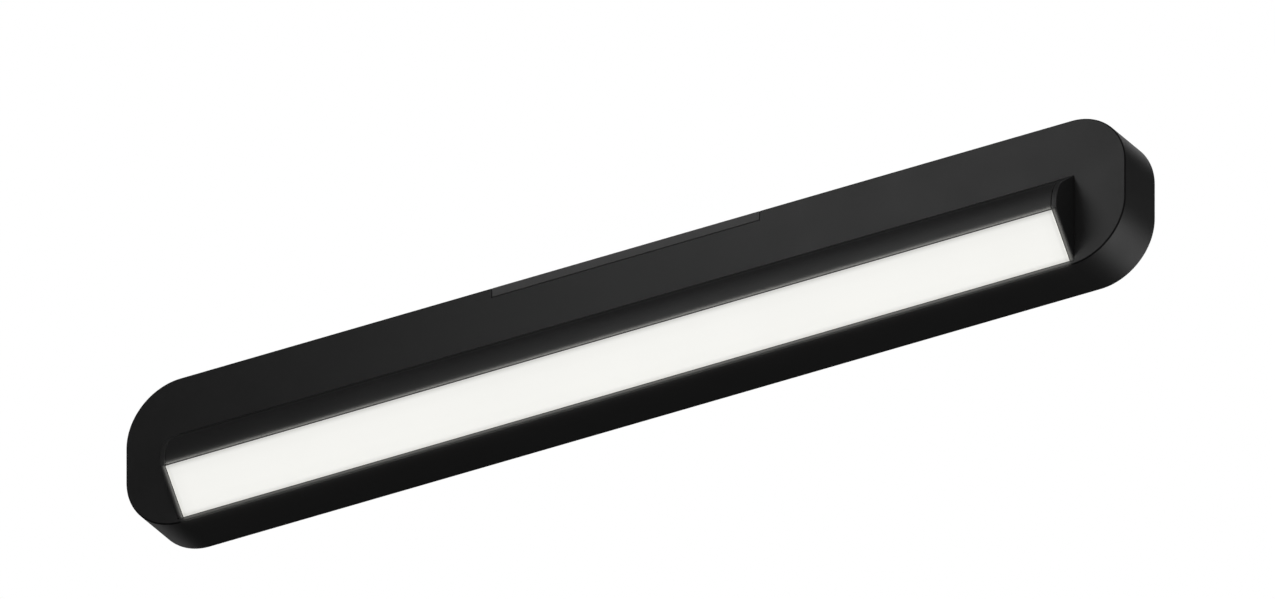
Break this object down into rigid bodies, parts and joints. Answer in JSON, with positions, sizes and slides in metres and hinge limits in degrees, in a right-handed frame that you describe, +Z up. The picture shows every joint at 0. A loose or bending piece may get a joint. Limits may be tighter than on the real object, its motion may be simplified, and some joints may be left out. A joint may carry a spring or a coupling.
{
  "type": "wall mounted linear led batten",
  "caption": "Flat capsule-shaped wall-mounted linear LED luminaire with a tilting light bar in its front slot and a flush press switch bar.",
  "frame": {"origin": "centre of the wall plate's back face, on the wall", "axes": "+X along the housing, -Y out of the wall, +Z up"},
  "size_m": [0.6, 0.0493, 0.0854],
  "materials": {
    "black_coated_metal": "matte powder coat",
    "graphite_plastic": "matte moulded",
    "black_plastic": "matte moulded",
    "black_aluminium": "matte black anodised extrusion",
    "opal_plastic": "opal satin",
    "white_plastic": "white moulded",
    "circuit_board": "white solder mask",
    "green_circuit_board": "green solder mask",
    "zinc_steel": "zinc plated",
    "spring_steel": "bright drawn",
    "rubber": "black moulded",
    "brown_insulation": "wire insulation",
    "blue_insulation": "wire insulation",
    "green_yellow_insulation": "wire insulation",
    "red_black_insulation": "wire insulation"
  },
  "bodies": {
    "housing": {"housing_cover": "black_coated_metal", "wall_plate": "zinc_steel", "cable_grommet": "rubber", "cover_screw_left": "zinc_steel", "cover_screw_right": "zinc_steel", "pivot_bracket_left": "zinc_steel", "pivot_bracket_right": "zinc_steel", "pivot_bush_left": "white_plastic", "pivot_bush_right": "white_plastic", "bracket_screw_left_upper": "zinc_steel", "bracket_screw_left_lower": "zinc_steel", "bracket_screw_right_upper": "zinc_steel", "bracket_screw_right_lower": "zinc_steel", "led_driver": "white_plastic", "driver_screw_left": "zinc_steel", "driver_screw_right": "zinc_steel", "terminal_block": "white_plastic", "terminal_screw_1": "zinc_steel", "terminal_screw_2": "zinc_steel", "terminal_screw_3": "zinc_steel", "cord_clamp": "black_plastic", "cord_clamp_screw_upper": "zinc_steel", "cord_clamp_screw_lower": "zinc_steel", "earth_screw": "zinc_steel", "earth_lead": "green_yellow_insulation", "supply_lead_live": "brown_insulation", "supply_lead_neutral": "blue_insulation", "driver_output_lead": "red_black_insulation", "switch_frame": "black_plastic", "switch_frame_screw_left": "zinc_steel", "switch_frame_screw_right": "zinc_steel", "switch_board": "green_circuit_board", "tact_switch": "black_plastic", "switch_lead": "red_black_insulation"},
    "switch": {"switch_bar": "graphite_plastic", "return_spring_left": "spring_steel", "return_spring_right": "spring_steel"},
    "light_bar": {"bar_profile": "black_aluminium", "diffuser": "opal_plastic", "led_board": "circuit_board", "reflector": "white_plastic", "end_cap_left": "black_plastic", "end_cap_right": "black_plastic", "end_cap_screw_left_1": "zinc_steel", "end_cap_screw_left_2": "zinc_steel", "end_cap_screw_right_1": "zinc_steel", "end_cap_screw_right_2": "zinc_steel", "pivot_pin_left": "zinc_steel", "pivot_pin_right": "zinc_steel", "friction_washer_left": "rubber", "friction_washer_right": "rubber", "stop_pin": "zinc_steel", "board_lead": "red_black_insulation"}
  },
  "joints": [
    {"name": "light_bar_tilt", "type": "hinge", "parent": "housing", "child": "light_bar", "pos_m": [0, -0.0225, -0.015], "axis": [-1, 0, 0], "range_deg": [0, 40]},
    {"name": "switch_press", "type": "slide", "parent": "housing", "child": "switch", "axis": [0, 1, 0], "range_m": [0, 0.001], "stiffness_N_per_m": 1200, "springref_m": -0.0012, "deforming": ["return_spring_left", "return_spring_right"]}
  ]
}
